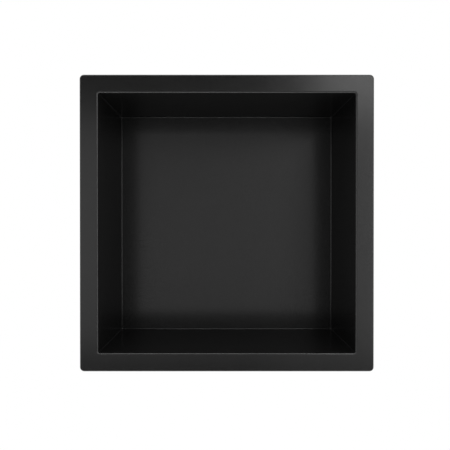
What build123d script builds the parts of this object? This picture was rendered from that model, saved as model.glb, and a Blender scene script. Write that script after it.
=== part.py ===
from build123d import *
import os

# Shower niche insert: one sheet of steel folded into a square recess with a flange round its opening.
# The lip round the flange stands on the wall. The box goes back into the wall along +Y, +Z is up,
# and the origin is the middle of the opening on the wall's surface.

# Driving dimensions, in millimetres
opening_width = 266.7         # between the two side walls
opening_height = 269.4        # between the bottom wall and the top wall
overall_depth = 101.6         # flange face to the outside of the back panel
flange_width = 19.05          # wall of the opening to the flange's outer edge
lip_depth = 4.0               # flange face to the wall, over the turned-back edge
sheet = 1.2                   # thickness of the steel
bend_radius = 1.2             # inside of the folds at the opening and round the back panel
lip_bend_radius = 0.3         # inside of the tight fold along the flange's edge
seam_ease = 0.3               # the welded corner seams are this much rounder than the folds
flange_corner_radius = 4.5    # outer corners of the flange, seen from the front

# Sizes that follow from the sheet and the opening
box_width = opening_width + 2 * sheet
box_height = opening_height + 2 * sheet
flange_outer_width = opening_width + 2 * flange_width
flange_outer_height = opening_height + 2 * flange_width
channel_outer_width = flange_outer_width - 2 * sheet
channel_outer_height = flange_outer_height - 2 * sheet
seam_radius = bend_radius + seam_ease
outer_seam_radius = seam_radius + sheet

# Planes across the depth, looked at from the front
wall_plane = Plane.XZ
face_plane = Plane.XZ.offset(lip_depth)


def flats_front_to_back(piece):
    """Return the flat faces that lie across the depth, the flange's face first."""
    return piece.faces().filter_by(Axis.Y).sort_by(Axis.Y)


with BuildPart() as niche_shell:
    # Outside of the box, with rounded corner seams and folds round the back panel
    with BuildSketch(face_plane):
        RectangleRounded(box_width, box_height, outer_seam_radius)
    extrude(amount=-overall_depth)
    back_panel_outside = flats_front_to_back(niche_shell)[-1]
    fillet(back_panel_outside.outer_wire().edges(), bend_radius + sheet)

    # Outside of the flange and of the lip that is turned back to the wall
    with BuildSketch(face_plane):
        RectangleRounded(flange_outer_width, flange_outer_height, flange_corner_radius)
    extrude(amount=-lip_depth)
    flange_face = flats_front_to_back(niche_shell)[0]
    fillet(flange_face.outer_wire().edges(), lip_bend_radius + sheet)

    # Channel behind the flange, between the lip and the box
    with BuildSketch(wall_plane):
        RectangleRounded(channel_outer_width, channel_outer_height, flange_corner_radius - sheet)
        RectangleRounded(box_width, box_height, outer_seam_radius, mode=Mode.SUBTRACT)
    extrude(amount=lip_depth - sheet, mode=Mode.SUBTRACT)
    flange_rear = flats_front_to_back(niche_shell)[1]
    fillet(flange_rear.inner_wires()[0].edges(), bend_radius)
    flange_rear = flats_front_to_back(niche_shell)[1]
    fillet(flange_rear.outer_wire().edges(), lip_bend_radius)

    # Recess, with folds round the back panel and a rounded rim where the walls meet the flange
    with BuildSketch(face_plane):
        RectangleRounded(opening_width, opening_height, seam_radius)
    extrude(amount=sheet - overall_depth, mode=Mode.SUBTRACT)
    back_panel = flats_front_to_back(niche_shell)[-2]
    fillet(back_panel.outer_wire().edges(), bend_radius)
    flange_face = flats_front_to_back(niche_shell)[0]
    fillet(flange_face.inner_wires()[0].edges(), bend_radius + sheet)

niche_shell.part.label = "niche_shell"

os.makedirs("parts", exist_ok=True)
export_step(niche_shell.part, "parts/niche_shell.step")
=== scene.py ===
import math

import bpy
from bpy.props import FloatProperty, FloatVectorProperty, IntProperty, PointerProperty
from bpy.types import Operator, Panel, PropertyGroup
from mathutils import Matrix, Vector


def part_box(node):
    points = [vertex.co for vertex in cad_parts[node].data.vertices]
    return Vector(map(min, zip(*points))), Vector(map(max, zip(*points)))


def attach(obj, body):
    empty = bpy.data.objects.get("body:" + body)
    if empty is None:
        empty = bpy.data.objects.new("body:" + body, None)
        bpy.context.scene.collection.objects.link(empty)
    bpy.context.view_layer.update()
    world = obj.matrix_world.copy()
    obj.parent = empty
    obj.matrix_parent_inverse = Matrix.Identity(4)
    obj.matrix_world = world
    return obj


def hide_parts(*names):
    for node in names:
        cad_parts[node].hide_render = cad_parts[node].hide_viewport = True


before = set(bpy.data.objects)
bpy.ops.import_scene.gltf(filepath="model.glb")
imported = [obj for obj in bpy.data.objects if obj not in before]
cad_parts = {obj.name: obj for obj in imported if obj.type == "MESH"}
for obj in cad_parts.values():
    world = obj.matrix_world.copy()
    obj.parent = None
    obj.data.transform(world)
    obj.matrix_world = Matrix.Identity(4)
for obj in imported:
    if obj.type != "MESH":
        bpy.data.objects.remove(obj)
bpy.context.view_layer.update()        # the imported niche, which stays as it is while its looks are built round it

bl_info = {
    "name": "Shower Niche Insert",
    "version": (1, 0, 0),
    "blender": (4, 5, 0),
    "location": "View3D > Sidebar > Niche",
    "description": "Builds a folded, welded and coated shower niche and a studio to show it in",
    "category": "Add Mesh",
}

SHELL_NODE = "niche_shell"
BODY = "root"
QUARTER_TURN = math.pi / 2
ACROSS = Vector((1, 0, 0))
REARWARD = Vector((0, 1, 0))
UP = Vector((0, 0, 1))
shell_low, shell_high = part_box(SHELL_NODE)


# Settings that a user would change

def length_setting(name, description, default):
    """A length in metres."""
    return FloatProperty(name=name, description=description, default=default, min=0.0,
                         precision=5, unit="LENGTH")


def share_setting(name, description, default):
    """A share from 0 to 1."""
    return FloatProperty(name=name, description=description, default=default, min=0.0, max=1.0,
                         precision=4, subtype="FACTOR")


def count_setting(name, description, default):
    """A number of steps or points."""
    return IntProperty(name=name, description=description, default=default, min=1)


def colour_setting(name, description, default):
    """A colour without alpha."""
    return FloatVectorProperty(name=name, description=description, default=default, size=3,
                               min=0.0, max=1.0, subtype="COLOR")


class NicheSheetSettings(PropertyGroup):
    """Sizes of the folded sheet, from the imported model's box and the way the sheet is bent."""

    overall_width: length_setting(
        "Overall width", "Across the flange", shell_high.x - shell_low.x)
    overall_height: length_setting(
        "Overall height", "Up the flange", shell_high.z - shell_low.z)
    overall_depth: length_setting(
        "Overall depth", "Flange face to the outside of the back panel", shell_high.y - shell_low.y)
    lip_depth: length_setting(
        "Lip depth", "Flange face to the wall, over the turned-back edge", -shell_low.y)
    flange_width: length_setting(
        "Flange width", "Wall of the opening to the flange's outer edge", 0.01905)
    thickness: length_setting(
        "Sheet thickness", "Thickness of the steel", 0.0012)
    bend_radius: length_setting(
        "Bend radius", "Inside of the folds round the back panel", 0.0012)
    rim_bend_radius: length_setting(
        "Rim bend radius", "Inside of the fold round the opening", 0.0005)
    lip_bend_radius: length_setting(
        "Lip bend radius", "Inside of the tight fold along the flange's edge", 0.0003)
    seam_ease: length_setting(
        "Seam ease", "How much rounder the welded corner seams are than the back panel's folds", 0.0003)
    flange_corner_radius: length_setting(
        "Flange corner radius", "Outer corners of the flange, seen from the front", 0.0045)
    fold_steps: count_setting(
        "Fold steps", "Faces round each fold", 12)
    corner_steps: count_setting(
        "Corner steps", "Faces round each corner seam", 10)
    edge_hold: length_setting(
        "Edge hold", "Width of the narrow strip that keeps each flat face flat up to its fold", 0.0001)


class NicheWeldSettings(PropertyGroup):
    """Sizes of the weld beads along the outside of the corner seams."""

    bead_width: length_setting(
        "Bead width", "Across a weld bead", 0.0036)
    bead_height: length_setting(
        "Bead height", "How far a weld bead stands out of the sheet", 0.0005)
    bead_sunk: length_setting(
        "Bead sunk", "How far the middle of a bead's oval section lies below the steel's surface", 0.0003)
    ripple_pitch: length_setting(
        "Ripple pitch", "From one ripple of the weld to the next", 0.0018)
    ripple_depth: share_setting(
        "Ripple depth", "Height of a ripple, as a share of the bead's height", 0.5)
    points_round: count_setting(
        "Points round", "Points round the section of a bead", 10)
    points_per_ripple: count_setting(
        "Points per ripple", "Sections along one ripple", 5)


class NicheCoatSettings(PropertyGroup):
    """Colour and surface of the satin coating."""

    colour: colour_setting(
        "Coat colour", "Colour of the black coating", (0.048, 0.048, 0.048))
    thin_colour: colour_setting(
        "Thin coat colour", "Colour where the coating lies a little thinner", (0.053, 0.053, 0.053))
    metal_share: share_setting(
        "Metal share", "How far the thin coating shines as metal does rather than as paint does", 0.93)
    slant_shine: share_setting(
        "Slant shine", "How much of its shine the coating keeps where it is seen at a slant", 0.75)
    smooth_roughness: share_setting(
        "Smooth roughness", "Roughness of the smooth grains of the satin surface", 0.21)
    matt_roughness: share_setting(
        "Matt roughness", "Roughness of the matt grains of the satin surface", 0.44)
    matt_start: share_setting(
        "Matt start", "How high a grain stands, from 0 to 1, before it is a matt one", 0.54)
    weld_roughness: share_setting(
        "Weld roughness", "How much rougher the coating is over the weld beads", 0.16)
    roughness_spread: share_setting(
        "Roughness spread", "How far the roughness strays from place to place", 0.03)
    peel_size: length_setting(
        "Peel size", "Size of the soft ripples that the coating sets with", 0.004)
    grain_size: length_setting(
        "Grain size", "Size of the fine grain of the coating", 0.00025)
    relief: length_setting(
        "Relief", "Height of the coating's ripples and grain", 0.000003)


class NicheStageSettings(PropertyGroup):
    """The studio: camera, floor, background and the dark tent round the niche."""

    lens: FloatProperty(
        name="Lens", description="Focal length of the camera on a full-frame sensor",
        default=34.0, min=1.0, unit="CAMERA")
    camera_distance: length_setting(
        "Camera distance", "Camera to the flange face", 0.4394)
    camera_aside: FloatProperty(
        name="Camera aside", description="How far the camera stands to the right of the niche's middle",
        default=-0.0019, precision=5, unit="LENGTH")
    camera_tilt: FloatProperty(
        name="Camera tilt", description="How far the camera looks up",
        default=math.radians(-0.24), precision=4, subtype="ANGLE")
    floor_drop: length_setting(
        "Floor drop", "How far the floor lies below the niche, which a wall holds up", 1.60)
    floor_reach: length_setting(
        "Floor reach", "Middle of the floor to its edges", 6.0)
    background: colour_setting(
        "Background", "Colour of the floor and of the space behind the niche", (1.0, 1.0, 1.0))
    tent_depth: length_setting(
        "Tent depth", "Flange face to the dark cloth behind the camera", 1.4)
    tent_half_width: length_setting(
        "Tent half width", "Middle of the niche to the dark cloth on either side of it", 1.15)
    tent_half_height: length_setting(
        "Tent half height", "Middle of the niche to the dark cloth above and below it", 1.0)
    tent_end: length_setting(
        "Tent end", "How far the tent reaches behind the surface of the wall that holds the niche", 0.1)


# Node trees

SHARP_TURN = math.radians(40)        # an edge that turns by more than this stays sharp


class Output:
    """An output of a node. Arithmetic on it adds Math nodes to its tree."""

    def __init__(self, tree, socket):
        self.tree = tree
        self.socket = socket

    def math(self, operation, *others):
        """Feed this output and some other values to a Math node."""
        node = self.tree.nodes.new("ShaderNodeMath")
        node.operation = operation
        for slot, value in zip(node.inputs, (self, *others)):
            connect(self.tree, value, slot)
        return Output(self.tree, node.outputs[0])

    def __add__(self, other):
        return self.math("ADD", other)

    def __sub__(self, other):
        return self.math("SUBTRACT", other)

    def __mul__(self, other):
        return self.math("MULTIPLY", other)

    def __truediv__(self, other):
        return self.math("DIVIDE", other)


def connect(tree, value, slot):
    """Feed a node's input from an Output or a plain value."""
    if isinstance(value, Output):
        tree.links.new(value.socket, slot)
    else:
        slot.default_value = value


def add_node(tree, kind, inputs=None, **settings):
    """Add a node, give it its settings and feed its inputs. Return a function that gives its outputs."""
    node = tree.nodes.new(kind)
    for name, value in settings.items():
        setattr(node, name, value)
    for name, value in (inputs or {}).items():
        connect(tree, value, node.inputs[name])

    def output(name):
        return Output(tree, node.outputs[name])

    return output


def output_of(tree, kind, inputs=None, output=0, **settings):
    """Add a node and return one of its outputs."""
    return add_node(tree, kind, inputs, **settings)(output)


def parts_of(tree, vector):
    """The X, Y and Z of a vector."""
    part = add_node(tree, "ShaderNodeSeparateXYZ", {"Vector": vector})
    return part("X"), part("Y"), part("Z")


def new_tree(name, kind, inputs, outputs):
    """Start a node tree with named sockets, each of some kind.

    Return it with a function that gives its inputs by name, and with its output node.
    """
    tree = bpy.data.node_groups.new(name, kind)
    for label, socket in inputs.items():
        tree.interface.new_socket(label, in_out="INPUT", socket_type="NodeSocket" + socket)
    for label, socket in outputs.items():
        tree.interface.new_socket(label, in_out="OUTPUT", socket_type="NodeSocket" + socket)
    return tree, add_node(tree, "NodeGroupInput"), tree.nodes.new("NodeGroupOutput")


def finish_geometry(tree, geometry, material, result):
    """End a geometry tree: real geometry only, with its material."""
    real = output_of(tree, "GeometryNodeRealizeInstances", {"Geometry": geometry})
    coated = output_of(tree, "GeometryNodeSetMaterial", {"Geometry": real, "Material": material})
    connect(tree, coated, result.inputs[0])


def shade_folds(tree, mesh):
    """Shade a mesh smooth, apart from its sharp edges."""
    smooth = output_of(tree, "GeometryNodeSetShadeSmooth", {"Geometry": mesh, "Shade Smooth": True})
    turn = output_of(tree, "GeometryNodeInputMeshEdgeAngle", output="Unsigned Angle")
    return output_of(tree, "GeometryNodeSetShadeSmooth", {
        "Geometry": smooth,
        "Selection": turn.math("GREATER_THAN", SHARP_TURN),
        "Shade Smooth": False,
    }, domain="EDGE")


def run_tree(name, base_mesh, tree, values):
    """Run a geometry tree on a mesh and return the result as an object with a plain mesh."""
    maker = bpy.data.objects.new(name + "_maker", base_mesh)
    bpy.context.scene.collection.objects.link(maker)
    modifier = maker.modifiers.new(tree.name, "NODES")
    modifier.node_group = tree
    for item in tree.interface.items_tree:
        if item.name in values:
            modifier[item.identifier] = values[item.name]
    bpy.context.view_layer.update()
    depsgraph = bpy.context.evaluated_depsgraph_get()
    mesh = bpy.data.meshes.new_from_object(maker.evaluated_get(depsgraph), depsgraph=depsgraph)
    mesh.name = name
    maker.modifiers.clear()
    bpy.data.objects.remove(maker)
    if not mesh.polygons:
        raise RuntimeError(f"{name} came out with no faces")
    piece = bpy.data.objects.new(name, mesh)
    bpy.context.scene.collection.objects.link(piece)
    return piece


def line_mesh(name, lines):
    """A mesh of open lines, each a list of points."""
    points = [point for line in lines for point in line]
    edges = []
    start = 0
    for line in lines:
        edges += [(start + i, start + i + 1) for i in range(len(line) - 1)]
        start += len(line)
    mesh = bpy.data.meshes.new(name)
    mesh.from_pydata(points, edges, [])
    return mesh


# The folded shell

CORNERS = 4              # of the opening
HOLD_STOPS = 2           # stops on the straight, one on either side of a corner's arc
HALF_STOP = 0.5          # tells a stop from the next one
ROUNDING = 1e-4          # keeps a whole number that comes out a hair low from being rounded down
SAME_PLACE = 1e-6        # points nearer to each other than this, in metres, are one


def section_corners(sheet):
    """Corners of the sheet's section, from the middle of the back panel round the lip and back again.

    Each has its offset outwards from the wall of the opening, its depth behind the flange face and
    the radius of its fold.
    """
    steel = sheet.thickness
    middle = sheet.flange_width - sheet.overall_width / 2
    back = sheet.overall_depth
    edge = sheet.flange_width
    return [
        (middle, back - steel, 0.0),
        (0.0, back - steel, sheet.bend_radius),
        (0.0, 0.0, sheet.rim_bend_radius + steel),
        (edge, 0.0, sheet.lip_bend_radius + steel),
        (edge, sheet.lip_depth, 0.0),
        (edge - steel, sheet.lip_depth, 0.0),
        (edge - steel, steel, sheet.lip_bend_radius),
        (steel, steel, sheet.rim_bend_radius),
        (steel, back, sheet.bend_radius + steel),
        (middle, back, 0.0),
    ]


def folded_line(corners, steps, hold):
    """Points along a section whose right-angled corners are folded to their radii.

    One more point on either side of each fold, a hold's width away, keeps the flat faces flat.
    """
    places = [Vector(corner[:2]) for corner in corners]
    points = [places[0]]
    for before, place, after, corner in zip(places, places[1:], places[2:], corners[1:]):
        radius = corner[2]
        come = (place - before).normalized()
        leave = (after - place).normalized()
        if radius == 0.0:
            points.append(place)
            continue
        centre = place - come * radius + leave * radius
        points.append(place - come * (radius + hold))
        for step in range(steps + 1):
            turn = QUARTER_TURN * step / steps
            points.append(centre + radius * (come * math.sin(turn) - leave * math.cos(turn)))
        points.append(place + leave * (radius + hold))
    points.append(places[-1])
    return points


def loft_tree():
    """Carry a section round the opening, with a rounded corner seam at each of its four corners."""
    tree, given, result = new_tree("carry_section_round_opening", "GeometryNodeTree", {
        "Section": "Geometry",
        "Opening Width": "Float",
        "Opening Height": "Float",
        "Front Depth": "Float",
        "Seam Radius": "Float",
        "Flange Width": "Float",
        "Flange Corner Radius": "Float",
        "Corner Steps": "Int",
        "Edge Hold": "Float",
        "Coat": "Material",
    }, {"Shell": "Geometry"})
    steps = given("Corner Steps")

    # One row of points for each point of the section, and one column for each stop round the opening.
    # The last column comes back to the first one and is merged with it
    rows = output_of(tree, "GeometryNodeAttributeDomainSize", {"Geometry": given("Section")}, "Point Count")
    stops_per_corner = steps + 1 + HOLD_STOPS
    stops = stops_per_corner * CORNERS
    columns = stops + 1
    grid = output_of(tree, "GeometryNodeMeshGrid", {"Vertices X": rows, "Vertices Y": columns})
    index = output_of(tree, "GeometryNodeInputIndex")
    row = (index / columns + ROUNDING).math("FLOOR")
    stop = (index - row * columns).math("FLOORED_MODULO", stops)
    corner = (stop / stops_per_corner + ROUNDING).math("FLOOR")
    stop_in_corner = stop - corner * stops_per_corner

    # Offset and depth of the row's section point
    section_point = output_of(tree, "GeometryNodeSampleIndex", {
        "Geometry": given("Section"),
        "Value": output_of(tree, "GeometryNodeInputPosition"),
        "Index": row,
    }, data_type="FLOAT_VECTOR", domain="POINT")
    offset, depth, _ = parts_of(tree, section_point)

    # Corner radius: round the seam near the opening, and round the flange's own corner at its edge
    on_edge = offset.math("GREATER_THAN", given("Flange Width") / 2)
    seam = given("Seam Radius") + offset
    flange_corner = given("Flange Corner Radius") - given("Flange Width") + offset
    radius = (seam + on_edge * (flange_corner - seam)).math("MAXIMUM", 0.0)

    # Angle round the corner. The first and last stop lie on the straight, a hold's width from the arc
    arc_step = (stop_in_corner - 1).math("MAXIMUM", 0.0).math("MINIMUM", steps)
    angle = (corner + arc_step / steps) * QUARTER_TURN
    before_arc = stop_in_corner.math("LESS_THAN", HALF_STOP)
    after_arc = stop_in_corner.math("GREATER_THAN", steps + 1 + HALF_STOP)
    has_arc = radius.math("GREATER_THAN", SAME_PLACE)
    along = (after_arc - before_arc) * has_arc * given("Edge Hold")
    cosine = angle.math("COSINE")
    sine = angle.math("SINE")
    corner_middle = corner * QUARTER_TURN + QUARTER_TURN / 2
    side = corner_middle.math("COSINE").math("SIGN")
    top = corner_middle.math("SINE").math("SIGN")
    x = side * (given("Opening Width") / 2 + offset - radius) + radius * cosine - along * sine
    z = top * (given("Opening Height") / 2 + offset - radius) + radius * sine + along * cosine

    moved_to = output_of(tree, "ShaderNodeCombineXYZ", {"X": x, "Y": depth - given("Front Depth"), "Z": z})
    placed = output_of(tree, "GeometryNodeSetPosition", {"Geometry": grid, "Position": moved_to})
    closed = output_of(tree, "GeometryNodeMergeByDistance", {"Geometry": placed, "Distance": SAME_PLACE})
    finish_geometry(tree, shade_folds(tree, closed), given("Coat"), result)
    return tree


class NICHE_OT_shell(Operator):
    """Fold the sheet into the niche's lip, flange, walls and back panel"""

    bl_idname = "niche.shell"
    bl_label = "Folded shell"

    def execute(self, context):
        sheet = context.scene.niche_sheet
        section = folded_line(section_corners(sheet), sheet.fold_steps, sheet.edge_hold)
        base = line_mesh("sheet_section", [[(point.x, point.y, 0.0) for point in section]])
        shell = run_tree("folded_shell", base, loft_tree(), {
            "Opening Width": sheet.overall_width - 2 * sheet.flange_width,
            "Opening Height": sheet.overall_height - 2 * sheet.flange_width,
            "Front Depth": sheet.lip_depth,
            "Seam Radius": sheet.bend_radius + sheet.seam_ease,
            "Flange Width": sheet.flange_width,
            "Flange Corner Radius": sheet.flange_corner_radius,
            "Corner Steps": sheet.corner_steps,
            "Edge Hold": sheet.edge_hold,
            "Coat": coat_material("satin_coat", context.scene.niche_coat),
        })
        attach(shell, BODY)
        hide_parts(SHELL_NODE)
        return {"FINISHED"}


# The weld beads

END_AREA = 0.02          # what is left of a bead's section at its very ends
TRAIL_PARTS = 3          # a ripple trails at its sides by one of so many parts of the bead's width
MIDDLE = 0.5             # of a ripple or a noise, both of which go from 0 to 1


def weld_path(sheet, side, top):
    """The line of one corner's weld: its points, and the way outwards from the steel at each of them.

    It runs forward along the outside of the corner seam, fills the rim fold behind the flange with a
    rounder fold of its own and follows the flange's mitre as far as the lip.
    """
    radial = Vector((side, 0, top)).normalized()
    seam = sheet.bend_radius + sheet.seam_ease + sheet.thickness
    inset = sheet.flange_width - sheet.thickness + seam
    seam_centre = Vector((
        side * (sheet.overall_width / 2 - inset),
        0,
        top * (sheet.overall_height / 2 - inset),
    ))
    flange_rear = sheet.thickness - sheet.lip_depth
    box_end = sheet.overall_depth - sheet.lip_depth - sheet.bend_radius - sheet.thickness
    mitre = (inset - sheet.flange_corner_radius) * math.sqrt(2)
    lip_reach = mitre + sheet.flange_corner_radius - sheet.thickness
    fold = sheet.bend_radius

    def place(reach, depth):
        return seam_centre + radial * reach + REARWARD * depth

    points = [place(seam, box_end)]
    outward = [radial]
    for step in range(sheet.fold_steps + 1):
        turn = QUARTER_TURN * step / sheet.fold_steps
        reach = seam + fold * (1 - math.cos(turn))
        depth = flange_rear + fold * (1 - math.sin(turn))
        points.append(place(reach, depth))
        outward.append(radial * math.cos(turn) + REARWARD * math.sin(turn))
    points.append(place(lip_reach - sheet.lip_bend_radius, flange_rear))
    outward.append(REARWARD)
    return points, outward


def bead_tree():
    """Lay a rippled bead along each line, tapered at both ends."""
    tree, given, result = new_tree("lay_weld_beads", "GeometryNodeTree", {
        "Lines": "Geometry",
        "Bead Width": "Float",
        "Bead Height": "Float",
        "Sunk": "Float",
        "Ripple Pitch": "Float",
        "Ripple Depth": "Float",
        "Points Round": "Int",
        "Points Per Ripple": "Int",
        "Coat": "Material",
    }, {"Beads": "Geometry"})

    def keep(geometry, name, value):
        """Keep a number on each point for later."""
        return output_of(tree, "GeometryNodeStoreNamedAttribute", {
            "Geometry": geometry, "Name": name, "Value": value,
        }, data_type="FLOAT", domain="POINT")

    def kept(name, data_type="FLOAT"):
        """What was kept on each point."""
        return output_of(tree, "GeometryNodeInputNamedAttribute", {"Name": name}, data_type=data_type)

    # Evenly divided lines that know their length and their way outwards
    lines = output_of(tree, "GeometryNodeMeshToCurve", {"Mesh": given("Lines")})
    spacing = given("Ripple Pitch") / given("Points Per Ripple")
    even = output_of(tree, "GeometryNodeResampleCurve", {"Curve": lines, "Length": spacing}, mode="LENGTH")
    outward = kept("outward", "FLOAT_VECTOR")
    facing = output_of(tree, "GeometryNodeSetCurveNormal", {"Curve": even, "Normal": outward}, mode="FREE")
    along = output_of(tree, "GeometryNodeSplineParameter", output="Length")
    whole = output_of(tree, "GeometryNodeSplineLength", output="Length")
    curve = keep(facing, "along", along)

    # Section of a bead: an oval, part of it sunk into the steel
    circle = output_of(tree, "GeometryNodeCurvePrimitiveCircle", {
        "Resolution": given("Points Round"), "Radius": 1.0})
    rise, aside, _ = parts_of(tree, output_of(tree, "GeometryNodeInputPosition"))
    section = keep(keep(circle, "rise", rise), "aside", aside)
    half_height = given("Bead Height") + given("Sunk")
    oval = output_of(tree, "ShaderNodeCombineXYZ", {
        "X": rise * half_height - given("Sunk"), "Y": aside * given("Bead Width") / 2})
    shaped = output_of(tree, "GeometryNodeSetPosition", {"Geometry": section, "Position": oval})

    # Ends that run out over one bead width
    from_end = along.math("MINIMUM", whole - along) / given("Bead Width")
    taper = from_end.math("MINIMUM", 1.0).math("MAXIMUM", END_AREA).math("SQRT")
    swept = output_of(tree, "GeometryNodeCurveToMesh", {
        "Curve": curve, "Profile Curve": shaped, "Scale": taper, "Fill Caps": True})

    # Ripples, each a crescent that trails at its sides
    trail = kept("aside") * kept("aside") * given("Bead Width") / TRAIL_PARTS
    wave = ((kept("along") + trail) / given("Ripple Pitch")).math("FRACT")
    crest = kept("rise").math("MAXIMUM", 0.0)
    lift = (wave - MIDDLE) * given("Ripple Depth") * given("Bead Height") * crest
    push = output_of(tree, "ShaderNodeVectorMath", {"Vector": outward, "Scale": lift}, operation="SCALE")
    rippled = output_of(tree, "GeometryNodeSetPosition", {"Geometry": swept, "Offset": push})
    bare = output_of(tree, "GeometryNodeSetShadeSmooth", {"Geometry": rippled, "Shade Smooth": True})
    for name in ("along", "outward", "rise", "aside"):
        bare = output_of(tree, "GeometryNodeRemoveAttribute", {"Geometry": bare, "Name": name})
    finish_geometry(tree, bare, given("Coat"), result)
    return tree


class NICHE_OT_welds(Operator):
    """Lay the weld beads along the outside of the four corner seams"""

    bl_idname = "niche.welds"
    bl_label = "Corner welds"

    def execute(self, context):
        sheet = context.scene.niche_sheet
        weld = context.scene.niche_weld
        coat = context.scene.niche_coat
        lines = []
        outward = []
        for side, top in ((1, 1), (-1, 1), (-1, -1), (1, -1)):
            points, directions = weld_path(sheet, side, top)
            lines.append(points)
            outward += directions
        base = line_mesh("weld_lines", lines)
        facing = base.attributes.new("outward", "FLOAT_VECTOR", "POINT")
        for item, direction in zip(facing.data, outward):
            item.vector = direction
        beads = run_tree("corner_welds", base, bead_tree(), {
            "Bead Width": weld.bead_width,
            "Bead Height": weld.bead_height,
            "Sunk": weld.bead_sunk,
            "Ripple Pitch": weld.ripple_pitch,
            "Ripple Depth": weld.ripple_depth,
            "Points Round": weld.points_round,
            "Points Per Ripple": weld.points_per_ripple,
            "Coat": coat_material("weld_coat", coat, coat.weld_roughness),
        })
        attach(beads, BODY)
        return {"FINISHED"}


# The coating

PAINT_IOR = 1.5
MOTTLES_PER_METRE = 24.0
PEEL_SHARE = 0.75        # of the relief; the grain has the rest
GRAIN_EDGE = 0.04        # half the step in height over which a smooth grain turns into a matt one


def coat_surface_group():
    """Shader group: the soft ripples, fine grain and uneven gloss that a sprayed coat sets with."""
    name = "coat_surface"
    if name in bpy.data.node_groups:
        return bpy.data.node_groups[name]
    tree, given, result = new_tree(name, "ShaderNodeTree", {
        "Place": "Vector",
        "Peel Size": "Float",
        "Grain Size": "Float",
        "Smooth Roughness": "Float",
        "Matt Roughness": "Float",
        "Matt Start": "Float",
        "Roughness Spread": "Float",
    }, {
        "Height": "Float",
        "Roughness": "Float",
        "Thinness": "Float",
    })

    def noise(scale, detail, fade):
        """Soft hills and hollows from 0 to 1, with finer ones on them that fade by some share."""
        return output_of(tree, "ShaderNodeTexNoise", {
            "Vector": given("Place"), "Scale": scale, "Detail": detail, "Roughness": fade,
        }, "Fac")

    peel = noise(given("Peel Size").math("POWER", -1.0), detail=1.0, fade=0.5)
    grain = noise(given("Grain Size").math("POWER", -1.0), detail=2.0, fade=0.5)
    mottle = noise(MOTTLES_PER_METRE, detail=3.0, fade=0.55)
    height = peel * PEEL_SHARE + grain * (1 - PEEL_SHARE)
    gloss = output_of(tree, "ShaderNodeMapRange", {
        "Value": grain,
        "From Min": given("Matt Start") - GRAIN_EDGE,
        "From Max": given("Matt Start") + GRAIN_EDGE,
        "To Min": given("Smooth Roughness"),
        "To Max": given("Matt Roughness"),
    }, "Result", interpolation_type="SMOOTHSTEP")
    stray = (mottle - MIDDLE) * given("Roughness Spread")
    connect(tree, height, result.inputs["Height"])
    connect(tree, gloss + stray, result.inputs["Roughness"])
    connect(tree, mottle, result.inputs["Thinness"])
    return tree


def coat_material(name, coat, extra_roughness=0.0):
    """A satin black coating, rougher by some amount than the sheet's."""
    material = bpy.data.materials.new(name)
    material.use_nodes = True
    tree = material.node_tree
    surface = add_node(tree, "ShaderNodeGroup", {
        "Place": output_of(tree, "ShaderNodeTexCoord", output="Object"),
        "Peel Size": coat.peel_size,
        "Grain Size": coat.grain_size,
        "Smooth Roughness": coat.smooth_roughness + extra_roughness,
        "Matt Roughness": coat.matt_roughness + extra_roughness,
        "Matt Start": coat.matt_start,
        "Roughness Spread": coat.roughness_spread,
    }, node_tree=coat_surface_group())
    colour = output_of(tree, "ShaderNodeMix", {
        "Factor": surface("Thinness"), "A": (*coat.colour, 1.0), "B": (*coat.thin_colour, 1.0),
    }, "Result", data_type="RGBA")
    bump = output_of(tree, "ShaderNodeBump", {
        "Strength": 1.0, "Distance": coat.relief, "Height": surface("Height"),
    }, "Normal")
    shine = coat.slant_shine
    shader = tree.nodes["Principled BSDF"]
    shader.inputs["IOR"].default_value = PAINT_IOR
    shader.inputs["Metallic"].default_value = coat.metal_share
    shader.inputs["Specular Tint"].default_value = (shine, shine, shine, 1.0)
    connect(tree, colour, shader.inputs["Base Color"])
    connect(tree, surface("Roughness"), shader.inputs["Roughness"])
    connect(tree, bump, shader.inputs["Normal"])
    return material


# The stage

BLACK = (0.0, 0.0, 0.0)
GLOW_SHARE = 0.85        # of the floor's look; the rest takes the light and the shadow
SENSOR_WIDTH = 36.0      # of the camera, in millimetres
LAMP_GAP = 0.02          # from a tent's side to the softboxes in front of it, in metres

# Softboxes: the tent's side that each hangs on, its stretch along that side's two directions, in metres
# from the middle of the opening, and its brightness, where 1 is white
SOFTBOXES = (
    ("left_diffuser", "front", (-1.15, -0.45), (-0.55, 0.46), 0.85),
    ("middle_diffuser", "front", (-0.45, 0.20), (-0.56, 0.46), 0.66),
    ("right_diffuser", "front", (0.20, 0.75), (-0.62, 0.46), 0.66),
    ("right_strip", "front", (0.75, 1.15), (-0.58, 0.47), 2.25),
    ("key_edge", "front", (0.20, 0.40), (0.49, 1.00), 0.30),
    ("key_box", "front", (0.40, 0.80), (0.49, 1.00), 3.20),
    ("key_side", "front", (0.80, 1.15), (0.49, 1.00), 2.00),
    ("left_far_box", "left", (-1.40, -0.60), (-0.98, 0.98), 0.75),
    ("left_near_box", "left", (-0.60, 0.10), (-0.98, 0.98), 1.65),
    ("right_far_box", "right", (-1.40, -0.60), (-0.98, 0.98), 0.65),
    ("right_near_box", "right", (-0.60, 0.10), (-0.98, 0.98), 2.30),
    ("top_near_box", "top", (-1.13, 1.13), (-0.60, 0.10), 3.30),
    ("floor_box", "bottom", (-1.13, 1.13), (-0.60, 0.10), 2.90),
)


def flat_material(name, colour):
    """A plain matt colour."""
    material = bpy.data.materials.new(name)
    material.use_nodes = True
    shader = material.node_tree.nodes["Principled BSDF"]
    shader.inputs["Base Color"].default_value = (*colour, 1.0)
    shader.inputs["Roughness"].default_value = 1.0
    shader.inputs["Specular IOR Level"].default_value = 0.0
    return material


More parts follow.
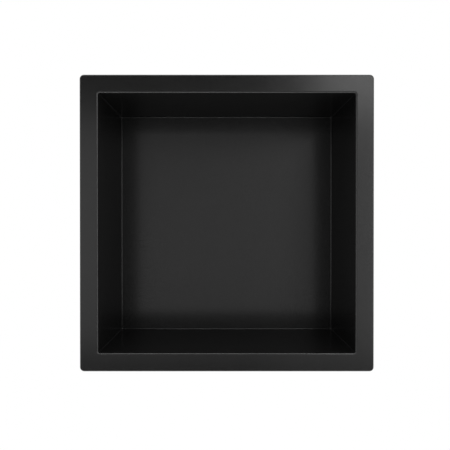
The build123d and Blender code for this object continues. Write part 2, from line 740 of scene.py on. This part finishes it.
def floor_material(colour):
    """A pale matt floor that looks white and keeps a faint shadow."""
    material = flat_material("pale_floor", colour)
    tree = material.node_tree
    matt = Output(tree, tree.nodes["Principled BSDF"].outputs[0])
    glow = output_of(tree, "ShaderNodeEmission", {"Color": (*colour, 1.0), "Strength": 1.0})
    ray = add_node(tree, "ShaderNodeLightPath")
    seen = ray("Is Camera Ray")
    for kind in ("Is Glossy Ray", "Is Transmission Ray"):
        seen = seen.math("MAXIMUM", ray(kind))
    mix = output_of(tree, "ShaderNodeMixShader", {0: seen * GLOW_SHARE, 1: matt, 2: glow})
    connect(tree, mix, tree.nodes["Material Output"].inputs["Surface"])
    return material


def rectangle(name, centre, right, up, material):
    """A flat piece of the stage from its centre and its two half sides."""
    corners = [centre - right - up, centre + right - up, centre + right + up, centre - right + up]
    mesh = bpy.data.meshes.new(name)
    mesh.from_pydata(corners, [], [(0, 1, 2, 3)])
    mesh.materials.append(material)
    piece = bpy.data.objects.new(name, mesh)
    bpy.context.scene.collection.objects.link(piece)
    return piece


def softbox(name, centre, right, up, level):
    """An area lamp of an even brightness, seen only by its light and in reflections.

    It is given by its centre and its two half sides, and shines to the side that a rectangle made
    from them faces.
    """
    width = 2 * right.length
    height = 2 * up.length
    lamp = bpy.data.lights.new(name, "AREA")
    lamp.shape = "RECTANGLE"
    lamp.size = width
    lamp.size_y = height
    lamp.energy = level * math.pi * width * height
    box = bpy.data.objects.new(name, lamp)
    bpy.context.scene.collection.objects.link(box)
    shine = right.cross(up)
    axes = Matrix((right.normalized(), up.normalized(), shine.normalized())).transposed()
    turn_lamp_round = Matrix.Rotation(math.pi, 3, "Y")
    box.matrix_world = Matrix.Translation(centre) @ (axes @ turn_lamp_round).to_4x4()
    box.visible_camera = False


def white_world(scene, colour):
    """A plain background of one colour."""
    world = bpy.data.worlds.new("studio")
    scene.world = world
    world.use_nodes = True
    backdrop = world.node_tree.nodes["Background"]
    backdrop.inputs["Color"].default_value = (*colour, 1.0)
    backdrop.inputs["Strength"].default_value = 1.0


def lay_floor(sheet, stage):
    """A wide floor below the niche."""
    level = -sheet.overall_height / 2 - stage.floor_drop
    reach = stage.floor_reach
    rectangle("floor", UP * level, ACROSS * reach, REARWARD * reach, floor_material(stage.background))


def tent_sides(front, stage):
    """The tent's sides: a point on each, its two directions and its stretch along both of them.

    The two directions are chosen so that a rectangle made from them faces into the tent.
    """
    half_width = stage.tent_half_width
    half_height = stage.tent_half_height
    across = (-half_width, half_width)
    rearward = (front, stage.tent_end)
    upward = (-half_height, half_height)
    return {
        "front": (REARWARD * front, (-ACROSS, UP), (across, upward)),
        "left": (-ACROSS * half_width, (REARWARD, UP), (rearward, upward)),
        "right": (ACROSS * half_width, (-REARWARD, UP), (rearward, upward)),
        "top": (UP * half_height, (ACROSS, -REARWARD), (across, rearward)),
        "bottom": (-UP * half_height, (ACROSS, REARWARD), (across, rearward)),
    }


def place_on(point, directions, stretches):
    """Centre and half sides of a rectangle on one side of the tent."""
    centre = Vector(point)
    halves = []
    for direction, (low, high) in zip(directions, stretches):
        axis = Vector(abs(part) for part in direction)
        centre += axis * (low + high) / 2
        halves.append(direction * (high - low) / 2)
    return centre, *halves


def hang_tent(front, stage):
    """The dark tent that the niche mirrors, and the softboxes on its sides."""
    sides = tent_sides(front, stage)
    cloth = flat_material("dark_cloth", BLACK)
    for side, (point, directions, stretches) in sides.items():
        flag = rectangle(side + "_cloth", *place_on(point, directions, stretches), cloth)
        flag.visible_camera = False
        # The cloth near the floor casts no shadow, so that the floor stays evenly white
        flag.visible_shadow = side != "bottom"
    for name, side, first, second, level in SOFTBOXES:
        point, directions, _ = sides[side]
        centre, right, up = place_on(point, directions, (first, second))
        inwards = right.cross(up).normalized()
        softbox(name, centre + inwards * LAMP_GAP, right, up, level)


def place_camera(scene, face, stage):
    """The camera in front of the flange face."""
    eye = bpy.data.cameras.new("camera")
    eye.lens = stage.lens
    eye.sensor_width = SENSOR_WIDTH
    camera = bpy.data.objects.new("camera", eye)
    scene.collection.objects.link(camera)
    camera.location = (stage.camera_aside, face - stage.camera_distance, 0.0)
    camera.rotation_euler = (QUARTER_TURN + stage.camera_tilt, 0.0, 0.0)
    scene.camera = camera


class NICHE_OT_stage(Operator):
    """Set up the white background, the floor, the dark tent, its softboxes and the camera"""

    bl_idname = "niche.stage"
    bl_label = "Stage"

    def execute(self, context):
        scene = context.scene
        sheet = scene.niche_sheet
        stage = scene.niche_stage
        face = -sheet.lip_depth
        scene.view_settings.view_transform = "Standard"
        white_world(scene, stage.background)
        lay_floor(sheet, stage)
        hang_tent(face - stage.tent_depth, stage)
        place_camera(scene, face, stage)
        return {"FINISHED"}


# The add-on

class NICHE_PT_panel(Panel):
    """Lists the niche's pieces and their settings"""

    bl_idname = "NICHE_PT_panel"
    bl_label = "Shower Niche Insert"
    bl_space_type = "VIEW_3D"
    bl_region_type = "UI"
    bl_category = "Niche"

    def draw(self, context):
        layout = self.layout
        for operator in OPERATORS:
            layout.operator(operator.bl_idname)
        for name in SETTINGS:
            settings = getattr(context.scene, name)
            for prop in settings.__annotations__:
                layout.prop(settings, prop)


SETTINGS = {
    "niche_sheet": NicheSheetSettings,
    "niche_weld": NicheWeldSettings,
    "niche_coat": NicheCoatSettings,
    "niche_stage": NicheStageSettings,
}
OPERATORS = (NICHE_OT_shell, NICHE_OT_welds, NICHE_OT_stage)
CLASSES = (*SETTINGS.values(), *OPERATORS, NICHE_PT_panel)


def register():
    """Make the settings, operators and panel known to Blender."""
    for cls in CLASSES:
        bpy.utils.register_class(cls)
    for name, cls in SETTINGS.items():
        setattr(bpy.types.Scene, name, PointerProperty(type=cls))


def unregister():
    """Undo register."""
    for name in SETTINGS:
        delattr(bpy.types.Scene, name)
    for cls in reversed(CLASSES):
        bpy.utils.unregister_class(cls)


def main():
    """Build the pieces and the stage."""
    register()
    bpy.ops.niche.shell()
    bpy.ops.niche.welds()
    bpy.ops.niche.stage()


if __name__ == "__main__":
    main()
